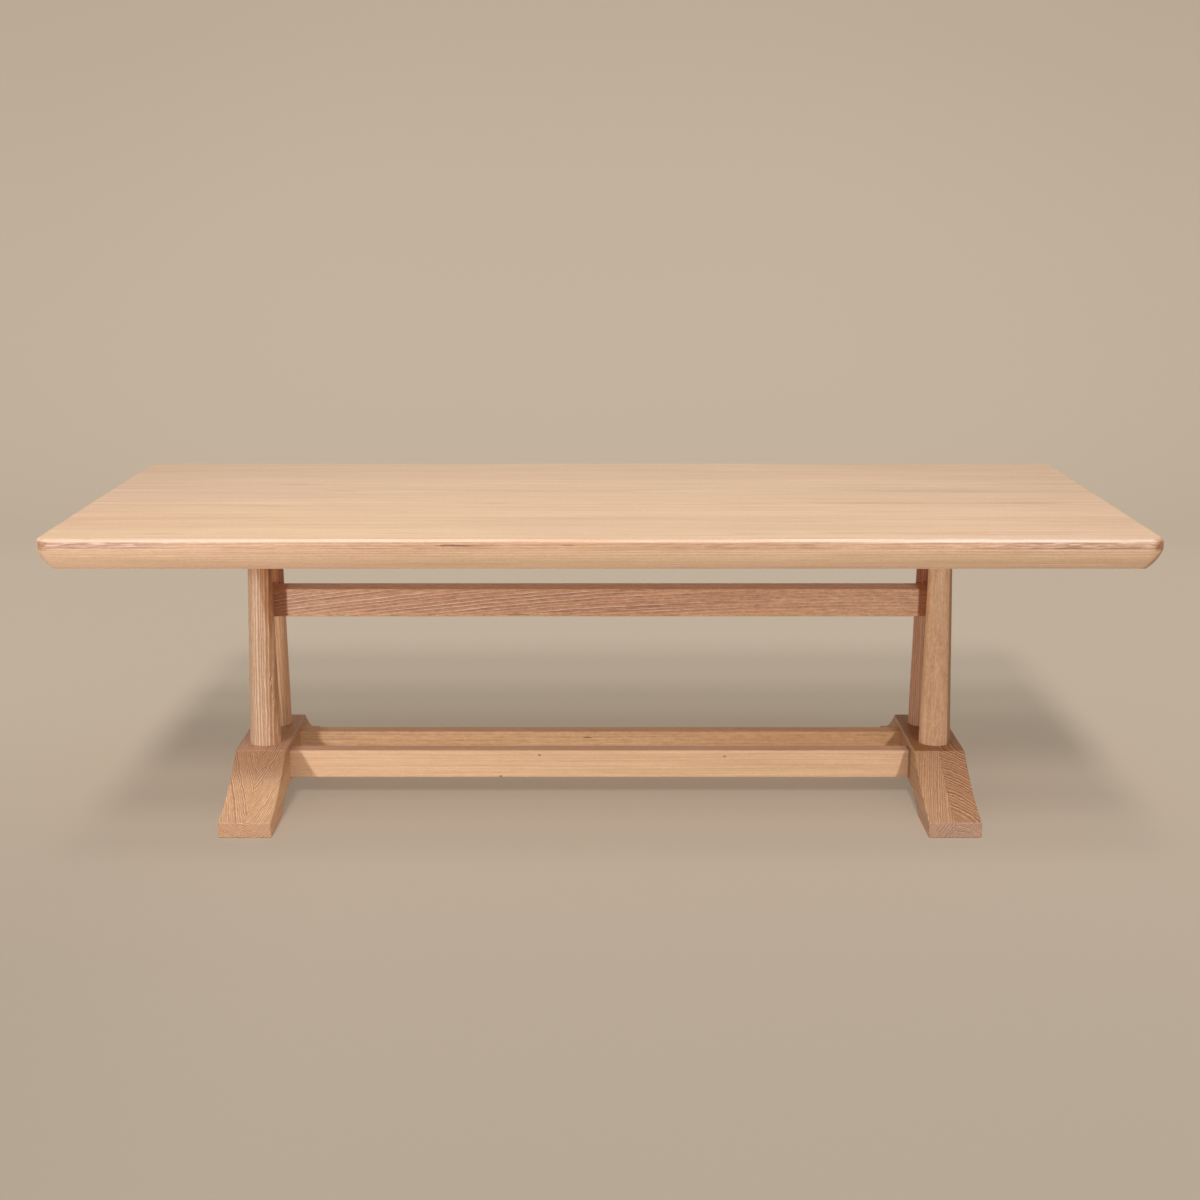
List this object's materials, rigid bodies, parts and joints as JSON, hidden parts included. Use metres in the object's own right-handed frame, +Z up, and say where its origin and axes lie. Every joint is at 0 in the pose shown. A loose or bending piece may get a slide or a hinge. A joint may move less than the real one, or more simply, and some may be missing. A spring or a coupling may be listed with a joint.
{
  "type": "trestle dining table",
  "caption": "Solid oak trestle dining table with a thick undercut top, round tapered posts, arched swept feet, an upper stretcher and paired lower stretchers.",
  "frame": {"origin": "on the floor, under the middle of the table", "axes": "+X along the table's length, +Y across its width towards the rear, +Z up"},
  "size_m": [2.51, 1.19, 0.75],
  "materials": {
    "oak_top": "pale limed oak, satin",
    "oak_trestle": "pale limed oak, satin",
    "zinc_steel": "zinc-plated steel"
  },
  "bodies": {
    "root": {"tabletop_board_1": "oak_top", "tabletop_board_2": "oak_top", "tabletop_board_3": "oak_top", "tabletop_board_4": "oak_top", "tabletop_board_5": "oak_top", "tabletop_board_6": "oak_top", "tabletop_board_7": "oak_top", "tabletop_board_8": "oak_top", "left_bearer": "oak_trestle", "right_bearer": "oak_trestle", "front_left_post": "oak_trestle", "rear_left_post": "oak_trestle", "front_right_post": "oak_trestle", "rear_right_post": "oak_trestle", "left_cross_rail": "oak_trestle", "right_cross_rail": "oak_trestle", "upper_stretcher": "oak_trestle", "front_lower_stretcher": "oak_trestle", "rear_lower_stretcher": "oak_trestle", "left_foot_outer_half": "oak_trestle", "left_foot_inner_half": "oak_trestle", "right_foot_outer_half": "oak_trestle", "right_foot_inner_half": "oak_trestle", "bolt_cover_plugs": "oak_trestle", "lower_stretcher_bolts": "zinc_steel", "upper_stretcher_bolts": "zinc_steel", "bolt_washers": "zinc_steel", "barrel_nuts": "zinc_steel", "tabletop_screws": "zinc_steel", "screw_washers": "zinc_steel"}
  },
  "joints": []
}
